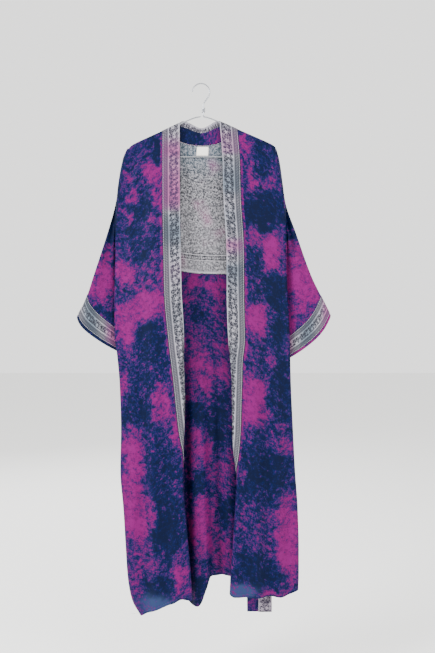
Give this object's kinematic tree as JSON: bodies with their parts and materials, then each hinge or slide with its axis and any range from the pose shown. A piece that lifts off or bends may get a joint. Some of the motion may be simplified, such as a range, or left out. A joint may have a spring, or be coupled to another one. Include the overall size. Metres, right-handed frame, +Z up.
{
  "type": "kimono robe on wire hanger",
  "caption": "Long open-front kimono robe of tie-dyed silk with woven border bands, wide sleeves and its own belt, hung on a bent wire hanger.",
  "frame": {"origin": "inner top of the hanger's hook, where a rail or peg carries it", "axes": "+Z up; the robe's front faces -Y; the wearer's left is +X, so pieces named right are at -X"},
  "size_m": [0.7384, 0.0853, 1.5479],
  "materials": {
    "dyed_silk": "soft sheen, tie-dyed magenta, violet and navy",
    "woven_border": "silvery brocade, floral strip and ladder stripes",
    "heathered_lining": "matt heathered grey with a woven striped border",
    "plain_tape": "matt off-white, bare",
    "wire": "bright plated wire"
  },
  "bodies": {
    "root": {"back_panel": "dyed_silk", "front_panel_right": "dyed_silk", "front_panel_left": "dyed_silk", "sleeve_right": "dyed_silk", "sleeve_left": "dyed_silk", "cuff_band_right": "woven_border", "cuff_band_left": "woven_border", "front_band_right": "woven_border", "front_band_left": "woven_border", "neck_band": "woven_border", "back_lining": "heathered_lining", "neck_label": "plain_tape", "belt": "woven_border", "belt_loop_right": "dyed_silk", "belt_loop_left": "dyed_silk", "hanger_wire": "wire", "hanger_twist": "wire"}
  },
  "joints": []
}
